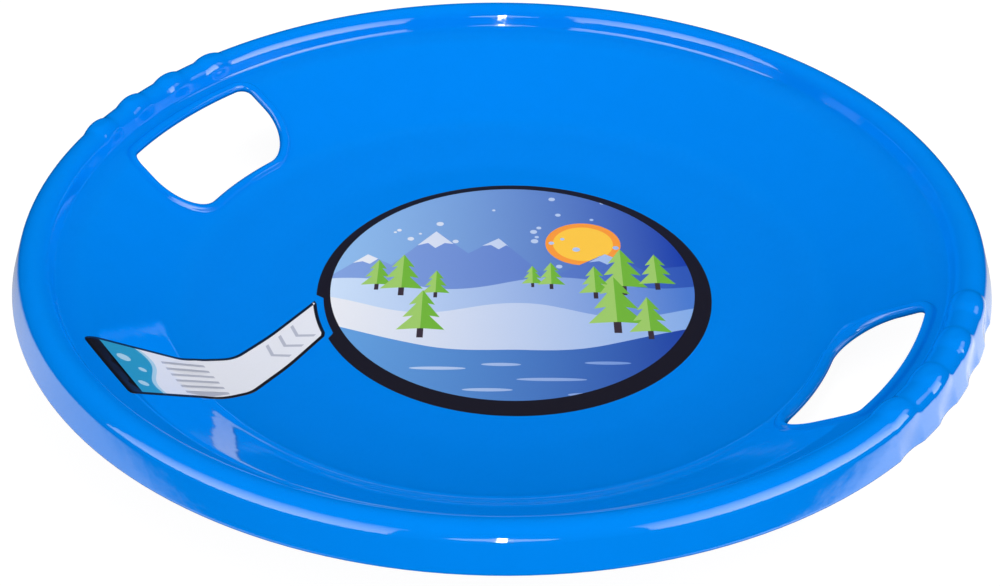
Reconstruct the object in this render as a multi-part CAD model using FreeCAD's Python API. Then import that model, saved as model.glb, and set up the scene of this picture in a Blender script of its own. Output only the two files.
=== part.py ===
import FreeCAD, Part
import math
import os

# A round one-piece plastic saucer sled, millimetres, +Z up, standing on its floor at z = 0.
# The hand holes are on the X axis.

# Dish: radial widths of its rings, from the skirt foot inwards
DISH_RADIUS = 295.0
RIM_WIDTH = 25.7
SHELF_WIDTH = 13.3
WALL_WIDTH = 53.0
FLARE_WIDTH = 53.0

# Dish: thickness and the rise of each ring's inner surface
SHELL_THICKNESS = 3.0
FLARE_RISE = 6.6
WALL_RISE = 40.3
SHELF_RISE = 4.9
FOOT_DROP = 6.4

# Dish: roundings of the inner surface, each at the outer edge of the ring it is named after
FLOOR_ROUND = 110.0
FLARE_ROUND = 40.0
WALL_ROUND = 25.0
CREASE_ROUND = 4.0

# Rim: a rolled-over crest with a steep inner face and a drafted skirt
CREST_RADIUS = 9.5
RIM_FACE_ANGLE = 74.7
SKIRT_DRAFT = 20.1

# Hand holes: plan sizes on the centre line of the rolled bead round each opening
HOLE_LENGTH = 122.5
HOLE_FLARE_MARGIN = 5.7
HOLE_CREASE_MARGIN = 7.8
HOLE_INNER_CORNER = 28.0
HOLE_OUTER_CORNER = 12.5
BEAD_RADIUS = 3.5
BEAD_LIFT = 0.6

# Finger lobes: raised knuckles across the rim beside each hole
LOBE_COUNT = 4
LOBE_PITCH = 7.7
LOBE_SHIFT = -1.1
LOBE_SPREAD = 4.4
LOBE_HEIGHT = 1.7
LOBE_FOOT_HEIGHT = 0.1
LOBE_SINK = 0.4
LOBE_ROOT = 1.2
LOBE_FOOT_GAP = 0.6
LOBE_SECTIONS = 5

# Printed films: the round sticker, with a notch in its edge for the label's end
FILM_THICKNESS = 0.2
STICKER_MARGIN = 24.5
STICKER_SHIFT_X = 6.7
STICKER_SHIFT_Y = 4.1
NOTCH_DEPTH = 4.5
NOTCH_GAP = 2.5

# Label in plan: its toe's place on the crease, and corners from there as x, y and rounding,
# from the sticker round the toe and back
LABEL_ANGLE = 244.8
LABEL_CORNERS = [
    (22.4, 193.7, 0.0),
    (19.0, 93.4, 16.0),
    (2.9, 77.8, 10.0),
    (-23.5, 21.4, 3.0),
    (33.1, -1.1, 3.0),
    (36.8, 49.3, 16.0),
    (50.5, 73.7, 16.0),
    (48.0, 193.7, 0.0),
]

TOOL_REACH = 20.0


def heading(degrees):
    """Unit vector in plan at this angle from +X."""
    return math.cos(math.radians(degrees)), math.sin(math.radians(degrees))


def crossing(point_a, direction_a, point_b, direction_b):
    """Point where two lines in a plane meet."""
    turn = direction_a[0] * direction_b[1] - direction_a[1] * direction_b[0]
    gap = (point_b[0] - point_a[0], point_b[1] - point_a[1])
    along = (gap[0] * direction_b[1] - gap[1] * direction_b[0]) / turn
    return point_a[0] + along * direction_a[0], point_a[1] + along * direction_a[1]


def direction(start, end):
    """Unit vector from one point of a plane to another."""
    length = math.hypot(end[0] - start[0], end[1] - start[1])
    return (end[0] - start[0]) / length, (end[1] - start[1]) / length


def corner_arc(before, corner, after, radius):
    """Start, middle, end and centre of the arc that rounds a corner."""
    towards = direction(corner, before)
    onwards = direction(corner, after)
    half = math.acos(towards[0] * onwards[0] + towards[1] * onwards[1]) / 2
    reach = radius / math.tan(half)
    start = (corner[0] + towards[0] * reach, corner[1] + towards[1] * reach)
    end = (corner[0] + onwards[0] * reach, corner[1] + onwards[1] * reach)
    bisector = direction((0, 0), (towards[0] + onwards[0], towards[1] + onwards[1]))
    depth = radius / math.sin(half)
    centre = (corner[0] + bisector[0] * depth, corner[1] + bisector[1] * depth)
    middle = (centre[0] - bisector[0] * radius, centre[1] - bisector[1] * radius)
    return start, middle, end, centre


def rounded_path(corners, place):
    """Edges through corners (a, b, radius), with each inner corner rounded."""
    edges = []
    last = corners[0][:2]
    for before, corner, after in zip(corners, corners[1:], corners[2:]):
        start, middle, end, _ = corner_arc(before[:2], corner[:2], after[:2], corner[2])
        edges.append(Part.LineSegment(place(*last), place(*start)).toShape())
        edges.append(Part.Arc(place(*start), place(*middle), place(*end)).toShape())
        last = end
    edges.append(Part.LineSegment(place(*last), place(*corners[-1][:2])).toShape())
    return edges


def section_place(radius, height):
    """A point of the turned section, in the XZ plane."""
    return FreeCAD.Vector(radius, 0, height)


def plan_place(x, y):
    """A point in plan, at floor level."""
    return FreeCAD.Vector(x, y, 0)


# Radii and heights that the rings add up to
crease_radius = DISH_RADIUS - RIM_WIDTH
wall_top_radius = crease_radius - SHELF_WIDTH
flare_radius = wall_top_radius - WALL_WIDTH
floor_radius = flare_radius - FLARE_WIDTH
floor_height = SHELL_THICKNESS
flare_height = floor_height + FLARE_RISE
wall_top_height = flare_height + WALL_RISE
crease_height = wall_top_height + SHELF_RISE
foot_height = crease_height - FOOT_DROP
sticker_radius = floor_radius - STICKER_MARGIN
hole_inner_radius = flare_radius + HOLE_FLARE_MARGIN
hole_outer_radius = crease_radius - HOLE_CREASE_MARGIN

# Rim: the crest rounds the corner where the inner face and the skirt would meet
rim_face = heading(RIM_FACE_ANGLE)
skirt = heading(90 + SKIRT_DRAFT)
crease = (crease_radius, crease_height)
foot = (DISH_RADIUS, foot_height)
apex = crossing(crease, rim_face, foot, skirt)
crest_centre = corner_arc(crease, apex, foot, CREST_RADIUS)[3]

INNER_SURFACE = [
    (0.0, floor_height, 0.0),
    (floor_radius, floor_height, FLOOR_ROUND),
    (flare_radius, flare_height, FLARE_ROUND),
    (wall_top_radius, wall_top_height, WALL_ROUND),
    (crease_radius, crease_height, CREASE_ROUND),
    (apex[0], apex[1], CREST_RADIUS),
    (foot[0], foot[1], 0.0),
]


def parallel(corners, rise):
    """The same section moved square to itself: up for a positive rise, down for a negative one."""
    moved = []
    headings = [direction(a[:2], b[:2]) for a, b in zip(corners, corners[1:])]
    lines = []
    for corner, way in zip(corners, headings):
        lines.append(((corner[0] - way[1] * rise, corner[1] + way[0] * rise), way))
    moved.append((corners[0][0], corners[0][1] + rise, 0.0))
    for corner, line, following in zip(corners[1:], lines, lines[1:]):
        turn = line[1][0] * following[1][1] - line[1][1] * following[1][0]
        where = crossing(line[0], line[1], following[0], following[1])
        moved.append((where[0], where[1], corner[2] - rise * math.copysign(1, turn)))
    end = crossing(lines[-1][0], lines[-1][1], (0, corners[-1][1]), (1, 0))
    moved.append((end[0], end[1], 0.0))
    return moved


def turned_layer(lower, upper):
    """A full turn of the layer between two sections."""
    below = rounded_path(lower, section_place)
    above = rounded_path(upper, section_place)
    axis_side = Part.LineSegment(section_place(*lower[0][:2]), section_place(*upper[0][:2])).toShape()
    far_side = Part.LineSegment(section_place(*upper[-1][:2]), section_place(*lower[-1][:2])).toShape()
    outline = Part.Wire(Part.__sortEdges__(below + above + [axis_side, far_side]))
    return Part.Face(outline).revolve(FreeCAD.Vector(0, 0, 0), FreeCAD.Vector(0, 0, 1), 360)


def prism(outline, bottom, top):
    """A plan outline drawn up from one height to another."""
    base = Part.Face(outline)
    base.translate(FreeCAD.Vector(0, 0, bottom))
    return base.extrude(FreeCAD.Vector(0, 0, top - bottom))


def hole_corners():
    """Plan centres of the inner and the outer corner rounding of the hole on +X, on its +Y side."""
    inner_y = HOLE_LENGTH / 2 - HOLE_INNER_CORNER
    outer_y = HOLE_LENGTH / 2 - HOLE_OUTER_CORNER
    inner_x = math.sqrt((hole_inner_radius + HOLE_INNER_CORNER) ** 2 - inner_y ** 2)
    outer_x = math.sqrt((hole_outer_radius - HOLE_OUTER_CORNER) ** 2 - outer_y ** 2)
    return (inner_x, inner_y), (outer_x, outer_y)


def hole_outline():
    """Bead centre line in plan: two arcs about the dish axis, straight ends and rounded corners."""
    (near, near_side), (far, far_side) = hole_corners()
    half = HOLE_LENGTH / 2
    near_way = direction((0, 0), (near, near_side))
    far_way = direction((0, 0), (far, far_side))
    near_turn = direction(near_way, (0, 1))
    far_turn = direction((0, 0), (far_way[0], far_way[1] + 1))
    edges = []
    for side in (1, -1):
        inner_end = plan_place(near_way[0] * hole_inner_radius, side * near_way[1] * hole_inner_radius)
        near_middle = plan_place(near + near_turn[0] * HOLE_INNER_CORNER,
                                 side * (near_side + near_turn[1] * HOLE_INNER_CORNER))
        near_end = plan_place(near, side * half)
        far_end = plan_place(far, side * half)
        far_middle = plan_place(far + far_turn[0] * HOLE_OUTER_CORNER,
                                side * (far_side + far_turn[1] * HOLE_OUTER_CORNER))
        outer_end = plan_place(far_way[0] * hole_outer_radius, side * far_way[1] * hole_outer_radius)
        edges.append(Part.Arc(inner_end, near_middle, near_end).toShape())
        edges.append(Part.LineSegment(near_end, far_end).toShape())
        edges.append(Part.Arc(far_end, far_middle, outer_end).toShape())
    for radius, way in ((hole_inner_radius, near_way), (hole_outer_radius, far_way)):
        ends = [plan_place(way[0] * radius, side * way[1] * radius) for side in (1, -1)]
        edges.append(Part.Arc(ends[0], plan_place(radius, 0), ends[1]).toShape())
    return Part.Wire(Part.__sortEdges__(edges))


def hand_hole():
    """The upright cut of the hole on +X, along the bead's centre line."""
    return prism(hole_outline(), -TOOL_REACH, apex[1])


def middle_height(radius):
    """Height of the middle of the shell at a radius of the wall or the shelf."""
    section = Part.Wire(rounded_path(parallel(INNER_SURFACE, -SHELL_THICKNESS / 2), section_place))
    upright = Part.LineSegment(section_place(radius, 0), section_place(radius, crease_height)).toShape()
    return section.distToShape(upright)[1][0][0].z


def side_arc(radius, centre, lift):
    """Arc of the bead's line on one side of the hole, with the corner where its tangent meets the end."""
    way = direction((0, 0), centre)
    level = middle_height(radius)
    ends = [FreeCAD.Vector(way[0] * radius, side * way[1] * radius, level + lift) for side in (-1, 1)]
    arc = Part.Arc(ends[0], FreeCAD.Vector(radius, 0, level), ends[1])
    tangent = arc.tangent(arc.LastParameter)[0]
    corner = ends[1] + tangent * ((HOLE_LENGTH / 2 - ends[1].y) / tangent.y)
    return arc, corner


def space_arc(before, corner, after, reach):
    """Arc that rounds a corner in space, starting and ending at this reach from it."""
    towards = (before - corner).normalize()
    onwards = (after - corner).normalize()
    half = towards.getAngle(onwards) / 2
    bisector = (towards + onwards).normalize()
    depth = reach / math.cos(half) - reach * math.tan(half)
    return Part.Arc(corner + towards * reach, corner + bisector * depth, corner + onwards * reach)


def flipped(point):
    """The same point on the other end of the hole."""
    return FreeCAD.Vector(point.x, -point.y, point.z)


def hole_bead():
    """Rolled bead round the hole on +X: a round section along arcs and lines that follow the wall."""
    near, far = hole_corners()
    inner, inner_corner = side_arc(hole_inner_radius, near, BEAD_LIFT)
    outer, outer_corner = side_arc(hole_outer_radius, far, 0)
    inner_reach = (inner_corner - inner.EndPoint).Length
    outer_reach = (outer_corner - outer.EndPoint).Length
    inner_round = space_arc(inner.EndPoint, inner_corner, outer_corner, inner_reach)
    outer_round = space_arc(inner_corner, outer_corner, outer.EndPoint, outer_reach)
    end = Part.LineSegment(inner_round.EndPoint, outer_round.StartPoint)
    path = [inner, outer]
    for curve in (inner_round, outer_round):
        middle = curve.value((curve.FirstParameter + curve.LastParameter) / 2)
        path.append(curve)
        path.append(Part.Arc(flipped(curve.StartPoint), flipped(middle), flipped(curve.EndPoint)))
    path.append(end)
    path.append(Part.LineSegment(flipped(end.StartPoint), flipped(end.EndPoint)))
    spine = Part.Wire(Part.__sortEdges__([curve.toShape() for curve in path]))
    first = spine.OrderedEdges[0]
    start = first.valueAt(first.FirstParameter)
    ring = Part.Wire(Part.makeCircle(BEAD_RADIUS, start, first.tangentAt(first.FirstParameter)))
    return spine.makePipeShell([ring], True, False)


def lobe_section(angle, height, foot_level):
    """Closed section of a lobe in the radial plane at this angle, from its height at crest and foot."""
    face_way = heading(RIM_FACE_ANGLE + 90)
    skirt_way = heading(SKIRT_DRAFT)
    crest_way = heading((RIM_FACE_ANGLE + 90 + SKIRT_DRAFT) / 2)
    down_skirt = (skirt_way[1], -skirt_way[0])
    over = CREST_RADIUS + height
    over_foot = CREST_RADIUS + foot_level
    under = CREST_RADIUS - LOBE_ROOT
    turn = FreeCAD.Rotation(FreeCAD.Vector(0, 0, 1), angle)

    def at(way, reach):
        return crest_centre[0] + way[0] * reach, crest_centre[1] + way[1] * reach

    def place(point):
        return turn.multVec(section_place(*point))

    def at_foot(reach):
        return crossing(at(skirt_way, reach), down_skirt, (0, foot_height + LOBE_FOOT_GAP), (1, 0))

    crease_end = (crease[0] - face_way[0] * LOBE_ROOT, crease[1] - face_way[1] * LOBE_ROOT)
    edges = [
        Part.LineSegment(place(crease_end), place(at(face_way, over))),
        Part.Arc(place(at(face_way, over)), place(at(crest_way, over)), place(at(skirt_way, over))),
        Part.LineSegment(place(at(skirt_way, over)), place(at_foot(over_foot))),
        Part.LineSegment(place(at_foot(over_foot)), place(at_foot(under))),
        Part.LineSegment(place(at_foot(under)), place(at(skirt_way, under))),
        Part.Arc(place(at(skirt_way, under)), place(at(crest_way, under)), place(at(face_way, under))),
        Part.LineSegment(place(at(face_way, under)), place(crease_end)),
    ]
    return Part.Wire([edge.toShape() for edge in edges])


def finger_lobe(centre_angle):
    """One knuckle: its height over the rim is a parabola along the rim that sinks in at both ends."""
    sections = []
    for step in range(LOBE_SECTIONS):
        share = 2 * step / (LOBE_SECTIONS - 1) - 1
        height = LOBE_HEIGHT - (LOBE_HEIGHT + LOBE_SINK) * share ** 2
        foot_level = LOBE_FOOT_HEIGHT - (LOBE_FOOT_HEIGHT + LOBE_SINK) * share ** 2
        sections.append(lobe_section(centre_angle + share * LOBE_SPREAD / 2, height, foot_level))
    return Part.makeLoft(sections, True, False)


def mirrored(shape):
    """The same shape mirrored to the other side of the dish."""
    return shape.mirror(FreeCAD.Vector(0, 0, 0), FreeCAD.Vector(1, 0, 0))


def dish():
    """Shell with its hand holes, their beads and the lobes."""
    shell = turned_layer(parallel(INNER_SURFACE, -SHELL_THICKNESS), INNER_SURFACE)
    opening = hand_hole()
    added = [hole_bead()]
    for index in range(LOBE_COUNT):
        added.append(finger_lobe(LOBE_SHIFT + (index - (LOBE_COUNT - 1) / 2) * LOBE_PITCH))
    added += [mirrored(shape) for shape in added]
    return shell.cut([opening, mirrored(opening)]).fuse(added).removeSplitter()


def label_outline():
    """Plan of the label, drawn on past the sticker's edge."""
    toe = heading(LABEL_ANGLE)
    base = (toe[0] * crease_radius, toe[1] * crease_radius)
    corners = [(base[0] + x, base[1] + y, rounding) for x, y, rounding in LABEL_CORNERS]
    edges = rounded_path(corners, plan_place)
    ends = [plan_place(*corners[-1][:2]), plan_place(*corners[0][:2])]
    edges.append(Part.LineSegment(*ends).toShape())
    return Part.Wire(edges)


def sticker_disc(radius, height):
    """A disc about the sticker's centre, standing on z = 0."""
    return Part.makeCylinder(radius, height, FreeCAD.Vector(STICKER_SHIFT_X, STICKER_SHIFT_Y, 0))


def round_sticker():
    """Film disc on the floor, notched round the label's end."""
    around_label = prism(label_outline().makeOffset2D(NOTCH_GAP), 0, FILM_THICKNESS)
    notch = around_label.cut(sticker_disc(sticker_radius - NOTCH_DEPTH, FILM_THICKNESS))
    sticker = sticker_disc(sticker_radius, FILM_THICKNESS).cut(notch)
    sticker.translate(FreeCAD.Vector(0, 0, floor_height))
    return sticker


def stick_label():
    """Film that follows the floor and the wall inside the label's outline, ending at the sticker's edge."""
    film = turned_layer(INNER_SURFACE, parallel(INNER_SURFACE, FILM_THICKNESS))
    outline = prism(label_outline(), 0, crease_height)
    return film.common(outline.cut(sticker_disc(sticker_radius, crease_height)))


os.makedirs("parts", exist_ok=True)
for name, shape in (("dish", dish()), ("round_sticker", round_sticker()), ("stick_label", stick_label())):
    shape.exportStep("parts/" + name + ".step")
    print(name, "valid", shape.isValid(), "solids", len(shape.Solids), "volume", round(shape.Volume, 1))
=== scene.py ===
import math
import random
from functools import partial

import bmesh
import bpy
import numpy as np
from mathutils import Matrix, Vector
from mathutils.geometry import delaunay_2d_cdt


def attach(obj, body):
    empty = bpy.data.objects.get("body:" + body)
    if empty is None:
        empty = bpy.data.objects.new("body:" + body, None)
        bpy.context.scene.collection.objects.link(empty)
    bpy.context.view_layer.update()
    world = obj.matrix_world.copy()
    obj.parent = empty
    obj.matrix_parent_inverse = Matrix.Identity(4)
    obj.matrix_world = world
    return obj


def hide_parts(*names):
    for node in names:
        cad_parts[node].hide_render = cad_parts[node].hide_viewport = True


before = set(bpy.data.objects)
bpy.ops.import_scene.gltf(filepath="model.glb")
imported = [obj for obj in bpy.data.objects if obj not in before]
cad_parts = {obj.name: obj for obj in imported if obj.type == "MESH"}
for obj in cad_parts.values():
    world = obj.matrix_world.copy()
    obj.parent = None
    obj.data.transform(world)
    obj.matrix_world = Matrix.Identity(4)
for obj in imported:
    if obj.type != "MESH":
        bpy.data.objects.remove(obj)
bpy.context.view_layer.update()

# Dish
# The sled itself is one injection moulding of glossy blue polypropylene, about 3 mm thick all over.
# It is made here as a flat blank with its hand holes and their rolled beads, which Geometry Nodes
# then press into the turned section of the bowl, with the finger ridges across the rim.

MM = 0.001
WALL = 3.0
FLOOR_LEVEL = 3.0
CREASE_RADIUS = 269.3
ARC_STEP = 0.5
ARC_LEAST_STEPS = 4
# Corners of the inner face's section: radius, height and rounding in millimetres
SECTION_CORNERS = [
    (0.0, FLOOR_LEVEL, 0.0),
    (150.0, FLOOR_LEVEL, 110.0),
    (203.0, 9.6, 40.0),
    (256.0, 49.9, 25.0),
    (CREASE_RADIUS, 54.8, 4.0),
    (279.29, 91.33, 9.5),
    (295.0, 48.4, 0.0),
]


def corner_ways(before, corner, after):
    """A corner's place, the ways back and onwards from it, and half the angle between them."""
    place = Vector(corner[:2])
    back = (Vector(before[:2]) - place).normalized()
    onwards = (Vector(after[:2]) - place).normalized()
    return place, back, onwards, back.angle(onwards) / 2


def section_points(corners):
    """Points along the turned section in millimetres, with every inner corner rounded to an arc."""
    points = [corners[0][:2]]
    for before, corner, after in zip(corners, corners[1:], corners[2:]):
        place, back, onwards, half = corner_ways(before, corner, after)
        rounding = corner[2]
        centre = place + (back + onwards).normalized() * (rounding / math.sin(half))
        start = place + back * (rounding / math.tan(half)) - centre
        turn = math.pi - 2 * half
        if back.x * onwards.y - back.y * onwards.x > 0:
            turn = -turn
        count = max(ARC_LEAST_STEPS, math.ceil(abs(turn) * rounding / ARC_STEP))
        for step in range(count + 1):
            angle = turn * step / count
            spoke = Vector((start.x * math.cos(angle) - start.y * math.sin(angle),
                            start.x * math.sin(angle) + start.y * math.cos(angle)))
            points.append(tuple(centre + spoke))
    points.append(corners[-1][:2])
    return np.array(points)


def lengths_along(points):
    """How far along a line of points each of them lies."""
    return np.concatenate([[0], np.cumsum(np.hypot(*np.diff(points, axis=0).T))])


section = section_points(SECTION_CORNERS)
section_length = lengths_along(section)


def blank_radius(radius):
    """Distance from the middle of the flat blank for a radius on the finished dish."""
    return np.interp(radius, section[:, 0], section_length)


HOLE_INNER = 208.7
HOLE_OUTER = 261.5
HOLE_HALF = 61.25
HOLE_INNER_CORNER = 28.0
HOLE_OUTER_CORNER = 12.5
HOLE_ARC_POINTS = 60
BEAD_RADIUS = 3.5
BEAD_FILLET = 2.0
BEAD_STEPS = 26
FILLET_STEPS = 4
# The frame is the patch of wall round a hole, between two radii and two columns of the blank
FRAME_INNER = blank_radius(199.6)
FRAME_OUTER = blank_radius(268.9)
FRAME_HALF_ANGLE = math.radians(21.6)
FRAME_COLUMNS = 120
FRAME_ROWS = 30
FRAME_STEPS = 4
PLAIN_COLUMNS = 72
ALL_COLUMNS = 2 * (FRAME_COLUMNS + PLAIN_COLUMNS)
PLAIN_FLOOR = 140
FLOOR_ROWS = 10
FLARE_ROWS = 20
INNER_RIM_ROWS = 52
UNDER_RIM_ROWS = 26
FOOT = section_length[-1]
# Rounded edge of the foot: shift from the end of the section and height over the inner face
FOOT_EDGE = [(-0.6, 0.0), (-0.16, -0.16), (-0.21, -0.56), (-0.89, -2.44), (-1.2, -2.84), (-1.7, -WALL)]


def arc(centre, radius, start, end, count):
    """Plan points along an arc, angles in radians."""
    angles = np.linspace(start, end, count)
    return np.stack([centre[0] + radius * np.cos(angles), centre[1] + radius * np.sin(angles)], 1)


def resampled(points, count):
    """Points at even distances along a line, both ends kept."""
    along = lengths_along(points)
    wanted = np.linspace(0, along[-1], count + 1)
    return np.stack([np.interp(wanted, along, points[:, axis]) for axis in (0, 1)], 1)


def left_ways(loop):
    """Unit directions to the left of a closed line of plan points."""
    along = np.roll(loop, -1, 0) - np.roll(loop, 1, 0)
    return np.stack([-along[:, 1], along[:, 0]], 1) / np.hypot(along[:, 0], along[:, 1])[:, None]


def on_blank(plan):
    """Plan points of the finished dish laid out on the flat blank."""
    radius = np.hypot(plan[:, 0], plan[:, 1])
    return plan * (blank_radius(radius) / radius)[:, None]


def hole_line():
    """Bead centre line round the hole on +X in plan, as four sides that meet in the corners' middles."""
    near_y = HOLE_HALF - HOLE_INNER_CORNER
    far_y = HOLE_HALF - HOLE_OUTER_CORNER
    near_x = math.sqrt((HOLE_INNER + HOLE_INNER_CORNER) ** 2 - near_y ** 2)
    far_x = math.sqrt((HOLE_OUTER - HOLE_OUTER_CORNER) ** 2 - far_y ** 2)
    near_turn = math.pi + math.atan2(near_y, near_x)
    far_turn = math.atan2(far_y, far_x)
    near_middle = (near_turn + math.pi / 2) / 2
    far_middle = (far_turn + math.pi / 2) / 2
    near_corner = partial(arc, (near_x, near_y), HOLE_INNER_CORNER, count=HOLE_ARC_POINTS)
    far_corner = partial(arc, (far_x, far_y), HOLE_OUTER_CORNER, count=HOLE_ARC_POINTS)
    inner_half = np.concatenate([
        arc((0, 0), HOLE_INNER, 0, math.atan2(near_y, near_x), HOLE_ARC_POINTS),
        near_corner(near_turn, near_middle)])
    outer_half = np.concatenate([
        far_corner(far_middle, far_turn),
        arc((0, 0), HOLE_OUTER, far_turn, 0, HOLE_ARC_POINTS)])
    end = np.concatenate([near_corner(near_middle, math.pi / 2), far_corner(math.pi / 2, far_middle)])
    mirror = np.array([1, -1])
    inner = np.concatenate([inner_half[::-1] * mirror, inner_half[1:]])
    outer = np.concatenate([outer_half, outer_half[::-1][1:] * mirror])
    return [resampled(inner, FRAME_COLUMNS), resampled(end, FRAME_ROWS),
            resampled(outer, FRAME_COLUMNS), resampled(end[::-1] * mirror, FRAME_ROWS)]


def bead_profile():
    """Round of the bead with its fillets: distance out from the hole's line, height over the inner face."""
    level = -WALL / 2
    reach = BEAD_RADIUS + BEAD_FILLET
    fillet_x = math.sqrt(reach ** 2 - (BEAD_FILLET - level) ** 2)
    lean = math.atan2(BEAD_FILLET - level, fillet_x)
    upper = []
    for step in range(FILLET_STEPS):
        angle = -math.pi / 2 - (math.pi / 2 - lean) * step / FILLET_STEPS
        upper.append((fillet_x + BEAD_FILLET * math.cos(angle), BEAD_FILLET + BEAD_FILLET * math.sin(angle)))
    lower = [(x, 2 * level - y) for x, y in reversed(upper)]
    middle = []
    for step in range(BEAD_STEPS + 1):
        angle = lean + (2 * math.pi - 2 * lean) * step / BEAD_STEPS
        middle.append((BEAD_RADIUS * math.cos(angle), level + BEAD_RADIUS * math.sin(angle)))
    return upper + middle + lower


def column_headings():
    """Directions of the blank's columns, closer beside the holes where the ridges cross the rim."""
    close = np.linspace(-FRAME_HALF_ANGLE, FRAME_HALF_ANGLE, FRAME_COLUMNS + 1)[:-1]
    wide = np.linspace(FRAME_HALF_ANGLE, math.pi - FRAME_HALF_ANGLE, PLAIN_COLUMNS + 1)[:-1]
    angles = np.concatenate([close, wide, close + math.pi, wide + math.pi])
    return np.stack([np.cos(angles), np.sin(angles)], 1)


headings = column_headings()
bowl_rows = np.concatenate([
    np.linspace(0, PLAIN_FLOOR, FLOOR_ROWS)[1:-1],
    np.linspace(PLAIN_FLOOR, FRAME_INNER, FLARE_ROWS)[:-1],
    np.linspace(FRAME_INNER, FRAME_OUTER, FRAME_ROWS + 1)])
first_frame_row = len(bowl_rows) - FRAME_ROWS - 1


class Blank:
    """Vertices and faces of the flat blank, heights measured square to its inner face."""

    def __init__(self):
        self.points = []
        self.faces = []

    def add(self, flat, height):
        """Add plan points at one height; returns their numbers."""
        first = len(self.points)
        self.points += [(x, y, height) for x, y in flat]
        return list(range(first, len(self.points)))

    def plan(self, numbers):
        """The plan places of points that were added before."""
        return np.array([self.points[number][:2] for number in numbers])

    def bridge(self, one, other, closed=True):
        """Join two lines of points by faces, all the way round if they are closed."""
        last = len(one) if closed else len(one) - 1
        for index in range(last):
            following = (index + 1) % len(one)
            self.faces.append((one[index], one[following], other[following], other[index]))

    def bridge_all(self, lines):
        """Join each closed line of points to the next."""
        for one, other in zip(lines, lines[1:]):
            self.bridge(one, other)


def column_span(first, count):
    """Numbers of the columns on both sides of a run of faces."""
    return [(first + step) % ALL_COLUMNS for step in range(count + 1)]


def picked(ring, columns):
    """The points of a ring on some of its columns."""
    return [ring[column] for column in columns]


def add_face(blank, height, edge_shift, rim_rows):
    """One face of the blank, left open at the frames of the holes; returns its rings of points."""
    rim = np.linspace(FRAME_OUTER, FOOT + edge_shift, rim_rows)[1:]
    rings = [blank.add(headings * radius, height) for radius in np.concatenate([bowl_rows, rim])]
    middle = blank.add([(0.0, 0.0)], height)[0]
    blank.faces += [(middle, one, other) for one, other in zip(rings[0], rings[0][1:] + rings[0][:1])]
    for row, (one, other) in enumerate(zip(rings, rings[1:])):
        if first_frame_row <= row < first_frame_row + FRAME_ROWS:
            for first in (FRAME_COLUMNS, 2 * FRAME_COLUMNS + PLAIN_COLUMNS):
                span = column_span(first, PLAIN_COLUMNS)
                blank.bridge(picked(one, span), picked(other, span), closed=False)
        else:
            blank.bridge(one, other)
    return rings


def frame_border(rings, first_column):
    """Points of a face round one frame, in the order of the hole's four sides."""
    span = column_span(first_column, FRAME_COLUMNS)
    frame_rings = rings[first_frame_row:first_frame_row + FRAME_ROWS + 1]
    border = picked(frame_rings[0], span[:-1])
    border += [ring[span[-1]] for ring in frame_rings[:-1]]
    border += picked(frame_rings[-1], span[:0:-1])
    border += [ring[span[0]] for ring in frame_rings[:0:-1]]
    return border


def add_hole(blank, side, first_column, inner_rings, under_rings):
    """The bead of the hole on the +X or -X side, and the frames that join it to both faces."""
    line = on_blank(np.concatenate([part[:-1] for part in hole_line()]))
    outward = left_ways(line)
    loops = [blank.add(side * (line + outward * reach), height) for reach, height in bead_profile()]
    blank.bridge_all(loops)
    for height, rings, bead_edge in ((0.0, inner_rings, loops[0]), (-WALL, under_rings, loops[-1])):
        border = frame_border(rings, first_column)
        start = blank.plan(bead_edge)
        finish = blank.plan(border)
        frame_loops = [bead_edge]
        for step in range(1, FRAME_STEPS):
            share = step / FRAME_STEPS
            frame_loops.append(blank.add(start * (1 - share) + finish * share, height))
        blank.bridge_all(frame_loops + [border])


def dish_blank():
    """The whole blank: two faces joined by the beads round the holes and by the edge of the foot."""
    blank = Blank()
    inner_rings = add_face(blank, 0.0, FOOT_EDGE[0][0], INNER_RIM_ROWS)
    under_rings = add_face(blank, -WALL, FOOT_EDGE[-1][0], UNDER_RIM_ROWS)
    add_hole(blank, 1, 0, inner_rings, under_rings)
    add_hole(blank, -1, FRAME_COLUMNS + PLAIN_COLUMNS, inner_rings, under_rings)
    edge = [blank.add(headings * (FOOT + shift), height) for shift, height in FOOT_EDGE[1:-1]]
    blank.bridge_all([inner_rings[-1]] + edge + [under_rings[-1]])
    return blank


def linked(name, data):
    """A new object at the origin for a mesh, a curve, a lamp or a camera."""
    made = bpy.data.objects.new(name, data)
    bpy.context.scene.collection.objects.link(made)
    return made


section_line = bpy.data.curves.new("dish_section", "CURVE")
section_line.dimensions = "3D"
spline = section_line.splines.new("POLY")
spline.points.add(len(section) - 1)
for point, (radius, height) in zip(spline.points, section):
    point.co = (radius * MM, 0, height * MM, 1)
section_object = linked("dish_section", section_line)

RIDGE_COUNT = 4
RIDGE_PITCH = math.radians(7.7)
RIDGE_SHIFT = math.radians(-1.1)
RIDGE_WIDTH = math.radians(4.2)
RIDGE_HEIGHT = 2.4
RIDGE_TOP = 71.25
RIDGE_TOP_BLEND = 0.8
RIDGE_FOOT_DIP = 0.7
crest_length = section_length[np.argmax(section[:, 1])]
press_values = {
    "Ridge Count": RIDGE_COUNT,
    "Ridge Pitch": RIDGE_PITCH,
    "Ridge Shift": RIDGE_SHIFT,
    "Ridge Width": RIDGE_WIDTH,
    "Ridge Height": RIDGE_HEIGHT * MM,
    "Foot Dip": RIDGE_FOOT_DIP,
    "Crease": blank_radius(CREASE_RADIUS) * MM,
    "Crest": crest_length * MM,
    "Foot": FOOT * MM,
    "Top": RIDGE_TOP * MM,
    "Top Blend": RIDGE_TOP_BLEND * MM,
}


def feed(tree, socket, value):
    """Set an input to a number, or link it to the output of another node."""
    if isinstance(value, (int, float)):
        socket.default_value = value
    else:
        tree.links.new(value, socket)


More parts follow.
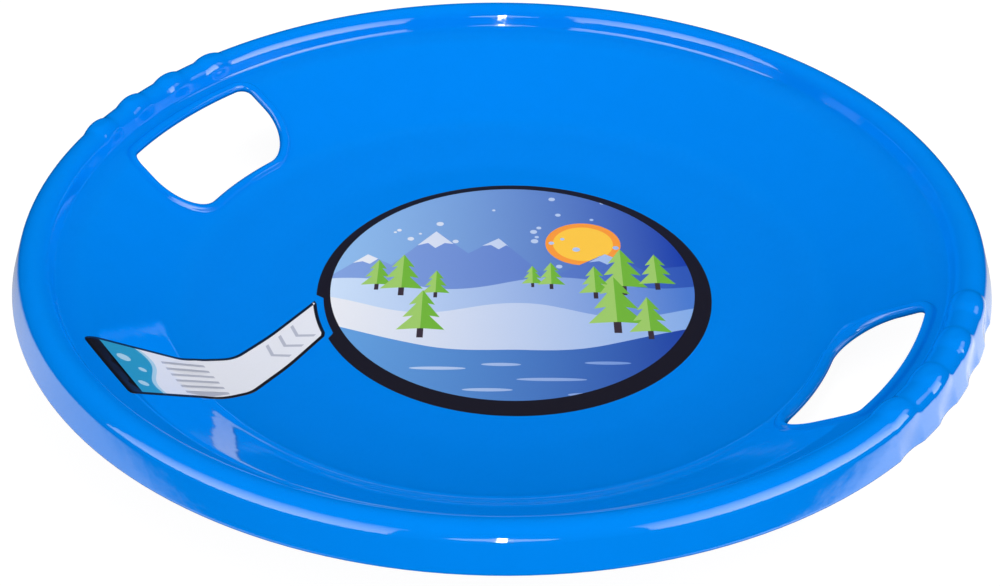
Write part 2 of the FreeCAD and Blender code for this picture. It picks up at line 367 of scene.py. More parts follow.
def math_node(tree, operation, *values):
    """The result of a new Math node."""
    made = tree.nodes.new("ShaderNodeMath")
    made.operation = operation
    for socket, value in zip(made.inputs, values):
        feed(tree, socket, value)
    return made.outputs[0]


def step_node(tree, value, low, high):
    """The result of a new node that steps smoothly from 0 at the low value to 1 at the high one."""
    made = tree.nodes.new("ShaderNodeMapRange")
    made.interpolation_type = "SMOOTHSTEP"
    for name, source in (("Value", value), ("From Min", low), ("From Max", high)):
        feed(tree, made.inputs[name], source)
    return made.outputs["Result"]


def press_tree():
    """Geometry Nodes that press a flat blank into a turned section, with finger ridges over its rim."""
    tree = bpy.data.node_groups.new("Press into dish", "GeometryNodeTree")
    kinds = {"Blank": "NodeSocketGeometry", "Section": "NodeSocketObject", "Finish": "NodeSocketMaterial"}
    for name, value in press_values.items():
        kinds[name] = "NodeSocketInt" if isinstance(value, int) else "NodeSocketFloat"
    for name, kind in kinds.items():
        tree.interface.new_socket(name, in_out="INPUT", socket_type=kind)
    tree.interface.new_socket("Pressed", in_out="OUTPUT", socket_type="NodeSocketGeometry")
    given = tree.nodes.new("NodeGroupInput").outputs
    link = tree.links.new
    maths = partial(math_node, tree)
    eased = partial(step_node, tree)

    # Place and direction on the section, found by the distance from the blank's middle
    flat = tree.nodes.new("ShaderNodeSeparateXYZ")
    link(tree.nodes.new("GeometryNodeInputPosition").outputs[0], flat.inputs[0])
    x, y, height = flat.outputs
    length = maths("SQRT", maths("ADD", maths("MULTIPLY", x, x), maths("MULTIPLY", y, y)))
    turn = maths("ARCTAN2", y, x)
    source = tree.nodes.new("GeometryNodeObjectInfo")
    link(given["Section"], source.inputs["Object"])
    sample = tree.nodes.new("GeometryNodeSampleCurve")
    sample.mode = "LENGTH"
    link(source.outputs["Geometry"], sample.inputs["Curves"])
    link(length, sample.inputs["Length"])
    at = tree.nodes.new("ShaderNodeSeparateXYZ")
    link(sample.outputs["Position"], at.inputs[0])
    way = tree.nodes.new("ShaderNodeSeparateXYZ")
    link(sample.outputs["Tangent"], way.inputs[0])

    # Height of the nearest ridge, rounded across and eased from the crease to the foot
    from_grip = maths("SUBTRACT", maths("ARCTAN2", y, maths("ABSOLUTE", x)), given["Ridge Shift"])
    last = maths("SUBTRACT", given["Ridge Count"], 1)
    place = maths("ADD", maths("DIVIDE", from_grip, given["Ridge Pitch"]), maths("MULTIPLY", last, 0.5))
    nearest = maths("MINIMUM", maths("MAXIMUM", maths("ROUND", place), 0), last)
    apart = maths("ABSOLUTE", maths("MULTIPLY", maths("SUBTRACT", place, nearest), given["Ridge Pitch"]))
    half_width = maths("MULTIPLY", given["Ridge Width"], 0.5)
    share_across = maths("MINIMUM", maths("DIVIDE", apart, half_width), 1)
    rounded = maths("SUBTRACT", 1, maths("MULTIPLY", share_across, share_across))
    fall = maths("MULTIPLY", eased(length, given["Crest"], given["Foot"]), maths("ADD", given["Foot Dip"], 1))
    share_along = maths("SUBTRACT", eased(length, given["Crease"], given["Crest"]), fall)
    lift = maths("MULTIPLY", maths("MULTIPLY", rounded, share_along), given["Ridge Height"])

    # The point set off square to the section, levelled at the top and turned about the axis
    offset = maths("ADD", height, lift)
    radius = maths("SUBTRACT", at.outputs["X"], maths("MULTIPLY", way.outputs["Z"], offset))
    raised = maths("ADD", at.outputs["Z"], maths("MULTIPLY", way.outputs["X"], offset))
    level = maths("SMOOTH_MIN", raised, given["Top"], given["Top Blend"])
    moved = tree.nodes.new("ShaderNodeCombineXYZ")
    link(maths("MULTIPLY", radius, maths("COSINE", turn)), moved.inputs["X"])
    link(maths("MULTIPLY", radius, maths("SINE", turn)), moved.inputs["Y"])
    link(level, moved.inputs["Z"])
    press = tree.nodes.new("GeometryNodeSetPosition")
    link(given["Blank"], press.inputs["Geometry"])
    link(moved.outputs[0], press.inputs["Position"])
    realize = tree.nodes.new("GeometryNodeRealizeInstances")
    link(press.outputs[0], realize.inputs[0])
    finish = tree.nodes.new("GeometryNodeSetMaterial")
    link(realize.outputs[0], finish.inputs["Geometry"])
    link(given["Finish"], finish.inputs["Material"])
    output = tree.nodes.new("NodeGroupOutput")
    link(finish.outputs[0], output.inputs[0])
    return tree


pressing = press_tree()


def pressed(name, mesh, finish):
    """A flat mesh pressed into the dish's section, as a plain smooth mesh with its finish."""
    blank = linked(name + "_blank", mesh)
    modifier = blank.modifiers.new("press", "NODES")
    modifier.node_group = pressing
    values = {"Section": section_object, "Finish": finish, **press_values}
    for item in pressing.interface.items_tree:
        if item.in_out == "INPUT" and item.name in values:
            modifier[item.identifier] = values[item.name]
    bpy.context.view_layer.update()
    evaluated = blank.evaluated_get(bpy.context.evaluated_depsgraph_get())
    made = bpy.data.meshes.new_from_object(evaluated)
    made.name = name
    bpy.data.objects.remove(blank)
    made.shade_smooth()
    return linked(name, made)


GRAIN_DETAIL = 3
BUMP_DEPTH = 0.2
BLUE = (0, 130, 234)
BLUE_IOR = 1.49
BLUE_SPECULAR = 1.0
WELD_DISTANCE = 1e-7


def grain_group():
    """Faint mottling shared by the moulding and the films: colour, roughness and a fine surface height."""
    group = bpy.data.node_groups.new("Fine grain", "ShaderNodeTree")
    for name in ("Colour", "Mottle", "Scale", "Roughness", "Spread"):
        kind = "NodeSocketColor" if name == "Colour" else "NodeSocketFloat"
        group.interface.new_socket(name, in_out="INPUT", socket_type=kind)
    for name in ("Colour", "Roughness", "Height"):
        kind = "NodeSocketColor" if name == "Colour" else "NodeSocketFloat"
        group.interface.new_socket(name, in_out="OUTPUT", socket_type=kind)
    given = group.nodes.new("NodeGroupInput").outputs
    output = group.nodes.new("NodeGroupOutput").inputs
    link = group.links.new
    maths = partial(math_node, group)
    noise = group.nodes.new("ShaderNodeTexNoise")
    noise.inputs["Detail"].default_value = GRAIN_DETAIL
    link(group.nodes.new("ShaderNodeTexCoord").outputs["Object"], noise.inputs["Vector"])
    link(given["Scale"], noise.inputs["Scale"])
    centred = maths("SUBTRACT", noise.outputs["Fac"], 0.5)
    shade = group.nodes.new("ShaderNodeHueSaturation")
    link(given["Colour"], shade.inputs["Color"])
    link(maths("MULTIPLY_ADD", centred, given["Mottle"], 1), shade.inputs["Value"])
    link(shade.outputs[0], output["Colour"])
    link(maths("MULTIPLY_ADD", centred, given["Spread"], given["Roughness"]), output["Roughness"])
    link(noise.outputs["Fac"], output["Height"])
    return group


fine_grain = grain_group()


def srgb(red, green, blue):
    """A colour as its linear values, from the 0 to 255 values of a screen."""
    return tuple(v / 12.92 if v <= 0.04045 else ((v + 0.055) / 1.055) ** 2.4
                 for v in (red / 255, green / 255, blue / 255))


def finish_material(name, colour, mottle, scale, roughness, spread, bump):
    """A Principled material with the fine grain in it; returns its shader and its grain node too."""
    material = bpy.data.materials.new(name)
    material.use_nodes = True
    nodes = material.node_tree.nodes
    link = material.node_tree.links.new
    shader = nodes["Principled BSDF"]
    grain = nodes.new("ShaderNodeGroup")
    grain.node_tree = fine_grain
    grain.inputs["Colour"].default_value = (*srgb(*colour), 1)
    grain.inputs["Mottle"].default_value = mottle
    grain.inputs["Scale"].default_value = scale
    grain.inputs["Roughness"].default_value = roughness
    grain.inputs["Spread"].default_value = spread
    link(grain.outputs["Colour"], shader.inputs["Base Color"])
    link(grain.outputs["Roughness"], shader.inputs["Roughness"])
    relief = nodes.new("ShaderNodeBump")
    relief.inputs["Strength"].default_value = bump
    relief.inputs["Distance"].default_value = BUMP_DEPTH * MM
    link(grain.outputs["Height"], relief.inputs["Height"])
    link(relief.outputs["Normal"], shader.inputs["Normal"])
    return material, shader, grain


blue_plastic, blue_shader, _ = finish_material("blue_polypropylene", BLUE, mottle=0.05, scale=60,
                                               roughness=0.05, spread=0.02, bump=0.7)
blue_shader.inputs["IOR"].default_value = BLUE_IOR
blue_shader.inputs["Specular IOR Level"].default_value = BLUE_SPECULAR

dish_flat = bpy.data.meshes.new("dish_flat")
blank = dish_blank()
dish_flat.from_pydata([(x * MM, y * MM, z * MM) for x, y, z in blank.points], [], blank.faces)
dish = pressed("moulded_dish", dish_flat, blue_plastic)
closed = bmesh.new()
closed.from_mesh(dish.data)
bmesh.ops.remove_doubles(closed, verts=closed.verts, dist=WELD_DISTANCE)
bmesh.ops.recalc_face_normals(closed, faces=closed.faces)
closed.to_mesh(dish.data)
closed.free()
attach(dish, "root")
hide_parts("dish")

# Round sticker
# A round printed film with a dark border sits on the flat floor, a little off centre, with a notch in its
# edge where the second film starts. The print is a plain winter landscape in a few inks.

FILM = 0.2
STICKER_RADIUS = 125.5
STICKER_CENTRE = (6.7, 4.1)
STICKER_STEPS = 200
PICTURE_RADIUS = 116.2
PICTURE_SHIFT = (-1.0, 4.2)
PICTURE_STEPS = 160
PRINT_TURN = math.radians(31.45)
NOTCH_GAP = 2.5
NOTCH_DEPTH = 4.5
# Corners of the second film's outline in plan, with their roundings, before the round film cuts it off
LABEL_CORNERS = [
    (-92.3, -50.0, 0.0),
    (-95.7, -150.3, 16.0),
    (-111.8, -165.9, 10.0),
    (-138.2, -222.3, 3.0),
    (-81.6, -244.8, 3.0),
    (-77.9, -194.4, 16.0),
    (-64.2, -170.0, 16.0),
    (-66.7, -50.0, 0.0),
]
LABEL_CORNER_POINTS = 9
LABEL_STEP = 2.0
MERGE_DISTANCE = 1e-5
FADE_SHIFT = 0.48
FADE_RATE = 4.4
# Inks as screen colours; one with two colours fades from the left to the right of the picture
PICTURE_INKS = {
    "border_ink": [(29, 27, 39)],
    "sky_ink": [(140, 185, 232), (10, 58, 168)],
    "lake_ink": [(96, 160, 222), (10, 56, 160)],
    "sun_ink": [(250, 196, 60)],
    "glow_ink": [(246, 150, 50)],
    "peak_ink": [(128, 160, 220), (40, 84, 180)],
    "far_snow_ink": [(200, 220, 244), (70, 120, 205)],
    "light_pine_ink": [(155, 200, 100)],
    "dark_pine_ink": [(110, 178, 50)],
    "snow_ink": [(232, 233, 238), (130, 170, 228)],
    "trunk_ink": [(60, 48, 60)],
}


def ink_material(name, colours):
    """A satin ink, with a fade across the picture if it has two colours."""
    material, _, grain = finish_material(name, colours[0], mottle=0.05, scale=900, roughness=0.3,
                                         spread=0.1, bump=0.03)
    if len(colours) == 2:
        nodes = material.node_tree.nodes
        link = material.node_tree.links.new
        slant = nodes.new("ShaderNodeMapping")
        slant.inputs["Rotation"].default_value = (0, 0, -PRINT_TURN)
        slant.inputs["Location"].default_value = (FADE_SHIFT, 0, 0)
        slant.inputs["Scale"].default_value = (FADE_RATE, FADE_RATE, 1)
        across = nodes.new("ShaderNodeSeparateXYZ")
        ramp = nodes.new("ShaderNodeValToRGB")
        for stop, colour in zip(ramp.color_ramp.elements, colours):
            stop.color = (*srgb(*colour), 1)
        link(nodes.new("ShaderNodeTexCoord").outputs["Object"], slant.inputs["Vector"])
        link(slant.outputs["Vector"], across.inputs[0])
        link(across.outputs["X"], ramp.inputs["Fac"])
        link(ramp.outputs["Color"], grain.inputs["Colour"])
    return material


def oval_line(centre, half_width, half_height, steps):
    """A closed oval outline."""
    angles = [2 * math.pi * step / steps for step in range(steps)]
    return [(centre[0] + half_width * math.cos(angle), centre[1] + half_height * math.sin(angle))
            for angle in angles]


def circle_line(centre, radius, steps):
    """A closed round outline."""
    return oval_line(centre, radius, radius, steps)


def inside(points, outline):
    """Which of the points lie inside a closed outline."""
    found = np.zeros(len(points), bool)
    x, y = points[:, 0], points[:, 1]
    for (ax, ay), (bx, by) in zip(outline, np.roll(outline, -1, 0)):
        if ay != by:
            crosses = (ay > y) != (by > y)
            found ^= crosses & (x < (bx - ax) * (y - ay) / (by - ay) + ax)
    return found


def put_inks(mesh, inks, numbers):
    """Give a film's mesh its inks, and each face the number of its ink."""
    mesh.materials.clear()
    for ink in inks.values():
        mesh.materials.append(ink)
    mesh.polygons.foreach_set("material_index", numbers)


def inked_film(name, outline, shapes, border, inks, fill=()):
    """A flat film cut to its outline, each face in the ink of the last shape that covers it.

    The border is a line with the ink of all that lies outside it; fill adds points within the film.
    """
    points = []
    edges = []
    for loop in [outline] + [shape for shape, _ in shapes]:
        first = len(points)
        points += [Vector(point) for point in loop]
        edges += [(first + step, first + (step + 1) % len(loop)) for step in range(len(loop))]
    points += [Vector(point) for point in fill]
    found, _, faces, _, _, _ = delaunay_2d_cdt(points, edges, [], 0, MERGE_DISTANCE)
    flat = np.array([tuple(point) for point in found])
    middles = np.array([flat[list(face)].mean(0) for face in faces])
    kept = inside(middles, outline)
    ink_names = list(inks)
    numbers = np.zeros(len(faces), np.int32)
    for shape, ink_name in shapes:
        numbers[inside(middles, shape)] = ink_names.index(ink_name)
    border_line, border_ink = border
    numbers[~inside(middles, border_line)] = ink_names.index(border_ink)
    mesh = bpy.data.meshes.new(name)
    kept_faces = [face for face, keep in zip(faces, kept) if keep]
    mesh.from_pydata([(x * MM, y * MM, 0) for x, y in flat], [], kept_faces)
    put_inks(mesh, inks, numbers[kept])
    return mesh


def thicken(film):
    """Give a film its thickness, down from the printed side."""
    thickness = film.modifiers.new("film", "SOLIDIFY")
    thickness.thickness = FILM * MM
    thickness.offset = -1


def label_line():
    """The second film's outline in plan, its corners rounded, as points at even distances."""
    points = [LABEL_CORNERS[0][:2]]
    for before, corner, after in zip(LABEL_CORNERS, LABEL_CORNERS[1:], LABEL_CORNERS[2:]):
        place, back, onwards, half = corner_ways(before, corner, after)
        reach = corner[2] / math.tan(half)
        for share in np.linspace(0, 1, LABEL_CORNER_POINTS):
            points.append(tuple(place + back * reach * (1 - share) ** 2 + onwards * reach * share ** 2))
    points.append(LABEL_CORNERS[-1][:2])
    line = np.array(points + points[:1])
    return resampled(line, round(lengths_along(line)[-1] / LABEL_STEP))[:-1]


def print_point(right, up):
    """The plan place of a point of the picture, given as right and up from the round film's centre."""
    return (STICKER_CENTRE[0] + right * math.cos(PRINT_TURN) - up * math.sin(PRINT_TURN),
            STICKER_CENTRE[1] + right * math.sin(PRINT_TURN) + up * math.cos(PRINT_TURN))


def sticker_outline():
    """The round film's outline in plan, drawn in round the end of the second film."""
    ring = circle_line((0, 0), STICKER_RADIUS, STICKER_STEPS)
    ring_plan = np.array([print_point(*point) for point in ring])
    label_plan = label_line()
    apart = ring_plan[:, None] - label_plan[None, :]
    near = np.hypot(apart[..., 0], apart[..., 1]).min(1) < NOTCH_GAP
    near |= inside(ring_plan, label_plan)
    shares = np.where(near, 1 - NOTCH_DEPTH / STICKER_RADIUS, 1.0)
    return [print_point(x * share, y * share) for (x, y), share in zip(ring, shares)]


# A pine's trunk and three tiers of branches as shares of its height, and each inner point of its reach
TRUNK_HALF_WIDTH = 0.04
TRUNK_HEIGHT = 0.2
TIER_REACHES = (0.165, 0.2325, 0.3)
TIER_FEET = (0.68, 0.42, 0.16)
TIER_RISE = 0.03
TIER_INNER_SHARE = 0.45
# Hills, sun, snowflakes and streaks on the lake in millimetres
HILL_SPACING = 32
HILL_POINTS = 90
HILL_BLEND = 17
LAND_FOOT = -130
SUN_PLACE = (46, 52)
SUN_RADIUS = 20
GLOW_RADIUS = 25
SUN_STEPS = 60
FLAKE_SEED = 7
FLAKE_COUNT = 26
FLAKE_ACROSS = (-90, 90)
FLAKE_UP = (20, 108)
FLAKE_RADIUS = (1.0, 2.6)
FLAKE_STEPS = 14
STREAK_HALF_HEIGHT = 1.5
STREAK_STEPS = 24
# Outlines of the landscape in millimetres, right and up from the round film's centre
PEAKS = [(-130, 0), (-96, 38), (-80, 26), (-52, 66), (-30, 40), (-10, 58), (22, 12), (60, 40), (84, 22),
         (130, 30), (130, -40), (-130, -40)]
SNOW_CAPS = [
    [(-52, 66), (-64, 49), (-57, 52), (-52, 46), (-46, 52), (-40, 51)],
    [(-10, 58), (-21, 49), (-15, 50), (-10, 45), (-5, 50), (-3, 48)],
    [(-96, 38), (-105, 28), (-99, 30), (-94, 27), (-89, 33)],
    [(60, 40), (49, 30.5), (56, 32), (61, 28), (66, 32), (70, 33)],
]
FAR_HILL = (8, 14, 2, -4, 10, 16, 6, -2, 8)
NEAR_HILL = (-6, -16, -30, -22, -12, -20, -34, -26, -14)
LAKE_SHORE = (-34, -46, -58, -66, -62, -66, -56, -44, -36)
# Pines as the foot's place and the height, streaks on the lake as the middle and half the width
FAR_PINES = [(-88, -2, 34), (-72, -8, 46), (70, -6, 52), (92, 0, 40), (52, -10, 36), (-50, -10, 30),
             (12, 2, 24), (24, 0, 30)]
NEAR_PINES = [(-58, -52, 50), (64, -46, 60), (84, -52, 44)]
STREAKS = [(-46, -82, 17), (-8, -78, 12), (22, -92, 21), (56, -76, 14), (-16, -102, 15), (40, -106, 9)]


def pine(right, up, height):
    """Outlines of one pine with their inks: the trunk, the lit side and the shaded side."""
    trunk_half = height * TRUNK_HALF_WIDTH
    trunk_top = up + height * TRUNK_HEIGHT
    trunk = [(right - trunk_half, up), (right + trunk_half, up),
             (right + trunk_half, trunk_top), (right - trunk_half, trunk_top)]
    shapes = [(trunk, "trunk_ink")]
    for side, ink_name in ((-1, "light_pine_ink"), (1, "dark_pine_ink")):
        outline = [(right, up + height)]
        for reach_share, foot_share in zip(TIER_REACHES, TIER_FEET):
            reach = side * height * reach_share
            low = up + height * foot_share
            outline.append((right + reach, low))
            outline.append((right + reach * TIER_INNER_SHARE, low + height * TIER_RISE))
        outline[-1] = (right, outline[-1][1])
        shapes.append((outline, ink_name))
    return shapes


def hill(heights):
    """A rolling outline through heights at even spacing, closed along the foot of the land."""
    across = [(-len(heights) / 2 + 0.5 + index) * HILL_SPACING for index in range(len(heights))]
    fine = np.linspace(across[0], across[-1], HILL_POINTS)
    knots = np.interp(fine, across, heights)
    padded = np.pad(knots, HILL_BLEND // 2, mode="edge")
    smooth = np.convolve(padded, np.ones(HILL_BLEND) / HILL_BLEND, "valid")
    return list(zip(fine, smooth)) + [(across[-1], LAND_FOOT), (across[0], LAND_FOOT)]


def landscape():
    """Outlines of the picture with their inks, from the sky at the back to the nearest pines."""
    shapes = [
        (circle_line(PICTURE_SHIFT, PICTURE_RADIUS, PICTURE_STEPS), "sky_ink"),
        (circle_line(SUN_PLACE, GLOW_RADIUS, SUN_STEPS), "glow_ink"),
        (circle_line(SUN_PLACE, SUN_RADIUS, SUN_STEPS), "sun_ink"),
    ]
    draw = random.Random(FLAKE_SEED)
    for _ in range(FLAKE_COUNT):
        spot = (draw.uniform(*FLAKE_ACROSS), draw.uniform(*FLAKE_UP))
        shapes.append((circle_line(spot, draw.uniform(*FLAKE_RADIUS), FLAKE_STEPS), "snow_ink"))
    shapes.append((PEAKS, "peak_ink"))
    shapes += [(cap, "snow_ink") for cap in SNOW_CAPS]
    shapes.append((hill(FAR_HILL), "far_snow_ink"))
    for place in FAR_PINES:
        shapes += pine(*place)
    shapes.append((hill(NEAR_HILL), "snow_ink"))
    shapes.append((hill(LAKE_SHORE), "lake_ink"))
    for right, up, half_width in STREAKS:
        streak = oval_line((right, up), half_width, STREAK_HALF_HEIGHT, STREAK_STEPS)
        shapes.append((streak, "far_snow_ink"))
    for place in NEAR_PINES:
        shapes += pine(*place)
    return shapes


picture_inks = {name: ink_material(name, colours) for name, colours in PICTURE_INKS.items()}
picture = [([print_point(*point) for point in shape], ink_name) for shape, ink_name in landscape()]
picture_edge = picture[0][0]
sticker_mesh = inked_film("printed_sticker", sticker_outline(), picture, (picture_edge, "border_ink"),
                          picture_inks)
sticker_mesh.transform(Matrix.Translation((0, 0, (FLOOR_LEVEL + FILM) * MM)))
sticker = linked("printed_sticker", sticker_mesh)
thicken(sticker)
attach(sticker, "root")
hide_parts("round_sticker")

# Stick label
# A second die-cut film in the outline of a short stick starts at the sticker's notch and is pressed on up
# the wall. It is white with a dark edge. From its wide end it has a dark band, a blue patch with a pale
# edge and dots, grey stripes and grey chevrons.

LABEL_EDGE = 2.2
END_ARC_POINTS = 12
END_CORNER = Vector(LABEL_CORNERS[3][:2])
END_WAY = Vector((0.929, -0.369))
IN_WAY = Vector((-END_WAY.y, END_WAY.x))
FILL_STEP = 4.0
# Marks in millimetres along and in from the wide end, dots with their radius, chevrons in plan
MARK_START = -8
MARK_END = 70
BAND_EDGE = 8
WAVE_POINTS = 30
WAVE_MIDDLE = 25
WAVE_HEIGHT = 5
WAVE_STRETCH = 9.5
WAVE_EDGE = 2.4
DOTS = [(17, 15, 3.6), (27, 21, 2.2), (44, 14, 2.8)]
DOT_STEPS = 20
STRIPE_STARTS = range(12, 56, 6)
STRIPE_WIDTH = 2.2
STRIPE_INWARDS = 38
STRIPE_LENGTH = 26
CHEVRON_PLACES = (-128, -116, -104)
CHEVRON = [(-89, 0), (-80, -6), (-71, 0), (-71, 2.6), (-80, -3.4), (-89, 2.6)]
LABEL_INKS = {
    "label_white": [(226, 228, 236)],
    "label_edge": [(24, 24, 32)],
    "label_blue": [(40, 150, 190)],
    "label_pale": [(168, 206, 226)],
    "label_grey": [(178, 182, 198)],
}


def cut_label_line():
    """The label's outline in plan, cut off along the round edge of the sticker."""
    line = label_line()
    from_centre = line - np.array(STICKER_CENTRE)
    outside = np.hypot(from_centre[:, 0], from_centre[:, 1]) > STICKER_RADIUS
    bearings = [math.atan2(y, x) for x, y in from_centre[outside]]
    end_arc = arc(STICKER_CENTRE, STICKER_RADIUS, bearings[-1], bearings[0], END_ARC_POINTS)
    return np.concatenate([line[outside], end_arc[1:-1]])


def label_point(over, inwards):
    """A point of the label from its wide end: how far along the end's edge and how far in from it."""
    return tuple(END_CORNER + END_WAY * over + IN_WAY * inwards)


def label_strip(line, width):
    """A strip beside a line of label points, its width taken inwards."""
    inner_side = [(over, inwards + width) for over, inwards in reversed(line)]
    return [label_point(*point) for point in line + inner_side]


def label_marks():
    """Outlines of the marks on the label with their inks."""
    wave = [(over, WAVE_MIDDLE + WAVE_HEIGHT * math.sin(over / WAVE_STRETCH))
            for over in np.linspace(MARK_START, MARK_END, WAVE_POINTS)]
    patch = [(MARK_START, BAND_EDGE), (MARK_END, BAND_EDGE)] + wave[::-1]
    marks = [
        (label_strip([(MARK_START, -BAND_EDGE), (MARK_END, -BAND_EDGE)], 2 * BAND_EDGE), "label_edge"),
        ([label_point(*point) for point in patch], "label_blue"),
        (label_strip(wave, WAVE_EDGE), "label_pale"),
    ]
    for over, inwards, radius in DOTS:
        marks.append((circle_line(label_point(over, inwards), radius, DOT_STEPS), "label_pale"))
    for over in STRIPE_STARTS:
        line = [(over, STRIPE_INWARDS), (over + STRIPE_WIDTH, STRIPE_INWARDS)]
        marks.append((label_strip(line, STRIPE_LENGTH), "label_grey"))
    for place in CHEVRON_PLACES:
        marks.append(([(x, place + y) for x, y in CHEVRON], "label_grey"))
    return marks


label_outline = cut_label_line()
inward = left_ways(label_outline)
label_field = label_outline + inward * LABEL_EDGE
low, high = label_outline.min(0), label_outline.max(0)
grid = np.array([(x, y) for x in np.arange(low[0], high[0], FILL_STEP)
                 for y in np.arange(low[1], high[1], FILL_STEP)])
label_fill = grid[inside(grid, label_outline + inward * FILL_STEP)]
label_shapes = [(label_outline, "label_edge"), (label_field, "label_white")] + label_marks()
label_inks = {name: ink_material(name, colours) for name, colours in LABEL_INKS.items()}
label_mesh = inked_film("label_flat", label_outline, label_shapes, (label_field, "label_edge"),
                        label_inks, label_fill)
plan = np.array([vertex.co[:2] for vertex in label_mesh.vertices]) / MM
for vertex, (x, y) in zip(label_mesh.vertices, on_blank(plan)):
    vertex.co = (x * MM, y * MM, FILM * MM)
# Pressing leaves one finish on the whole film, so its inks are put back
ink_numbers = [face.material_index for face in label_mesh.polygons]
label = pressed("printed_label", label_mesh, label_inks["label_white"])
put_inks(label.data, label_inks, ink_numbers)
thicken(label)
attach(label, "root")
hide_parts("stick_label")
bpy.data.objects.remove(section_object)

# Studio
# A pale seamless floor with a painted glow, brighter to the right, that only reflections see beside and
# before the sled, with a wide soft box at each side, a faint panel at the right, a narrow lamp in a wider
# glow low in front, and a fill behind that no reflection shows. The camera stands at the photograph's angle.

ACROSS = Vector((0.853, 0.522, 0))
AWAY = Vector((-0.522, 0.853, 0))
FLOOR_HALF = 6.0
FLOOR_DROP = 0.0003
# Painted glow of the floor, seen only in reflections, by the distance from the sled's middle in metres
PAINTED_GLOW_STOPS = ((0.3, 0), (0.33, 1), (0.48, 1), (0.56, 0))
# Where that painted glow fades in, beside the middle and towards the front, and its painted slope brighter to
# the right
BESIDE = (0.1, 0.28)
BEFORE = (0.14, -0.1)
SLANT = 0.5
SLANT_MIDDLE = 0.8
# Paper in plain light, in its painted reflection glow and as the camera sees it, and the light of the air
PAPER_MATT = 0.15
PAPER_PAINTED_GLOW = 0.8
PAPER_SEEN = 0.92
AIR_LIGHT = 0.52


def paper_material():
    """White paper that is even to the camera, dull to plain light, with a painted glow that only reflections
    see.
    """
    paper = bpy.data.materials.new("white_paper")
    paper.use_nodes = True
    tree = paper.node_tree
    tree.nodes.clear()
    link = tree.links.new
    maths = partial(math_node, tree)
    place = tree.nodes.new("ShaderNodeTexCoord").outputs["Object"]
    rays = tree.nodes.new("ShaderNodeLightPath").outputs

    def floor_way(way):
        """How far a floor point lies along a level direction."""
        made = tree.nodes.new("ShaderNodeVectorMath")
        made.operation = "DOT_PRODUCT"
        made.inputs[1].default_value = way
        link(place, made.inputs[0])
        return made.outputs["Value"]

    distance = tree.nodes.new("ShaderNodeVectorMath")
    distance.operation = "LENGTH"
    link(place, distance.inputs[0])
    painted_glow_ramp = tree.nodes.new("ShaderNodeValToRGB")
    for reach, shade in PAINTED_GLOW_STOPS:
        stop = painted_glow_ramp.color_ramp.elements.new(reach)
        stop.color = (shade, shade, shade, 1)
    painted_glow_ramp.color_ramp.elements[-1].color = (0, 0, 0, 1)
    link(distance.outputs["Value"], painted_glow_ramp.inputs["Fac"])
    rightness = floor_way(ACROSS)
    beside = step_node(tree, maths("ABSOLUTE", rightness), *BESIDE)
    before = step_node(tree, floor_way(AWAY), *BEFORE)
    painted_glow_slant = maths("MULTIPLY_ADD", rightness, SLANT, SLANT_MIDDLE)
    # Painted reflection glow: paper emission and pale colour seen only by glossy rays, in a ring beside and
    # before the sled, brighter to the right
    painted_glow_before = maths("MULTIPLY", painted_glow_ramp.outputs["Color"], before)
    painted_glow = maths("MULTIPLY", painted_glow_before, maths("MULTIPLY", beside, painted_glow_slant))
    painted_glow_in_reflections = maths("MULTIPLY", rays["Is Glossy Ray"], painted_glow)
    unlit = maths("MULTIPLY_ADD", rays["Is Glossy Ray"], -PAPER_MATT, PAPER_MATT)
    matt = tree.nodes.new("ShaderNodeBsdfDiffuse")
    link(maths("MULTIPLY_ADD", painted_glow_in_reflections, PAPER_PAINTED_GLOW, unlit), matt.inputs["Color"])
    # The camera sees the paper as an even white; reflections see the painted glow as emission
    bright = tree.nodes.new("ShaderNodeEmission")
    link(maths("MULTIPLY_ADD", rays["Is Camera Ray"], PAPER_SEEN, painted_glow_in_reflections), bright.inputs["Strength"])
    both = tree.nodes.new("ShaderNodeAddShader")
    link(matt.outputs[0], both.inputs[0])
    link(bright.outputs[0], both.inputs[1])
    output = tree.nodes.new("ShaderNodeOutputMaterial")
    link(both.outputs[0], output.inputs["Surface"])
    return paper


floor_mesh = bpy.data.meshes.new("studio_floor")
floor_corners = [(x * FLOOR_HALF, y * FLOOR_HALF, 0) for x, y in ((-1, -1), (1, -1), (1, 1), (-1, 1))]
floor_mesh.from_pydata(floor_corners, [], [(0, 1, 2, 3)])
floor_mesh.materials.append(paper_material())
floor = linked("studio_floor", floor_mesh)
floor.location.z = -FLOOR_DROP

scene = bpy.context.scene
scene.view_settings.view_transform = "Standard"
world = bpy.data.worlds.new("studio_air")
scene.world = world
world.use_nodes = True
air = world.node_tree.nodes["Background"]
air.inputs["Color"].default_value = (1, 1, 1, 1)
seen = world.node_tree.nodes.new("ShaderNodeLightPath").outputs["Is Camera Ray"]
feed(world.node_tree, air.inputs["Strength"], math_node(world.node_tree, "MAXIMUM", seen, AIR_LIGHT))
world.cycles_visibility.glossy = False

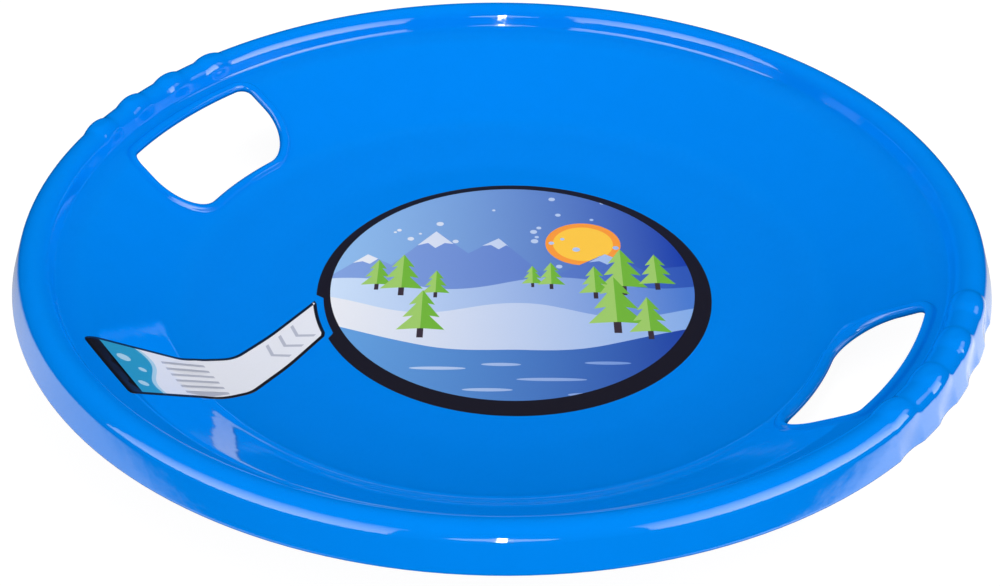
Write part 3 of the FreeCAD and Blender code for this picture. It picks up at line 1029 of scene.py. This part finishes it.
CAMERA_PLACE = Vector((0.41969, -0.68832, 0.57694))
CAMERA_RIGHT = Vector((0.8509, 0.5252, 0.0057))
CAMERA_UP = Vector((-0.3097, 0.4929, 0.8131))
CAMERA_BACK = Vector((0.4242, -0.6937, 0.5821))
CAMERA_SENSOR = 36
CAMERA_LENS = 55.8
camera_data = bpy.data.cameras.new("camera")
camera_data.sensor_width = CAMERA_SENSOR
camera_data.lens = CAMERA_LENS
camera = linked("camera", camera_data)
camera_turn = Matrix((CAMERA_RIGHT, CAMERA_UP, CAMERA_BACK)).transposed()
camera.matrix_world = Matrix.Translation(CAMERA_PLACE) @ camera_turn.to_4x4()
scene.camera = camera


def studio_point(across, away, up):
    """A place in metres from the sled's middle: to the camera's right, away from it and up."""
    return ACROSS * across + AWAY * away + Vector((0, 0, up))


def soft_box(name, place, aim, size, power, spread, shape="RECTANGLE"):
    """An area lamp at one studio point that faces another, its spread in degrees."""
    lamp = bpy.data.lights.new(name, "AREA")
    lamp.shape = shape
    lamp.size, lamp.size_y = size
    lamp.energy = power
    lamp.spread = math.radians(spread)
    made = linked(name, lamp)
    where = studio_point(*place)
    facing = (where - studio_point(*aim)).to_track_quat("Z", "Y")
    made.matrix_world = Matrix.Translation(where) @ facing.to_matrix().to_4x4()
    return made


soft_box("left_box", (-1.16, -0.95, 0.98), (0, 0, 0.98), size=(1.77, 1.44), power=10.2, spread=110)
soft_box("right_box", (1.24, -0.89, 0.95), (-0.12, -0.26, 0.95), size=(1.69, 1.4), power=11.2, spread=110)
soft_box("right_panel", (1.67, 0.13, 1), (0.26, -0.12, 0.07), size=(0.52, 0.7), power=0.1, spread=50)
soft_box("front_lamp", (0.01, -1.53, 0.53), (0, 0, 0.06), size=(0.06, 0.6), power=3, spread=180)
soft_box("front_glow", (0.01, -1.55, 0.54), (0, 0, 0.06), size=(0.56, 0.3), power=0.9, spread=180,
         shape="ELLIPSE")
back_fill = soft_box("back_fill", (0, 1.15, 1.35), (0, 0, 0), size=(1.2, 1.2), power=10.5, spread=180)
back_fill.visible_glossy = False
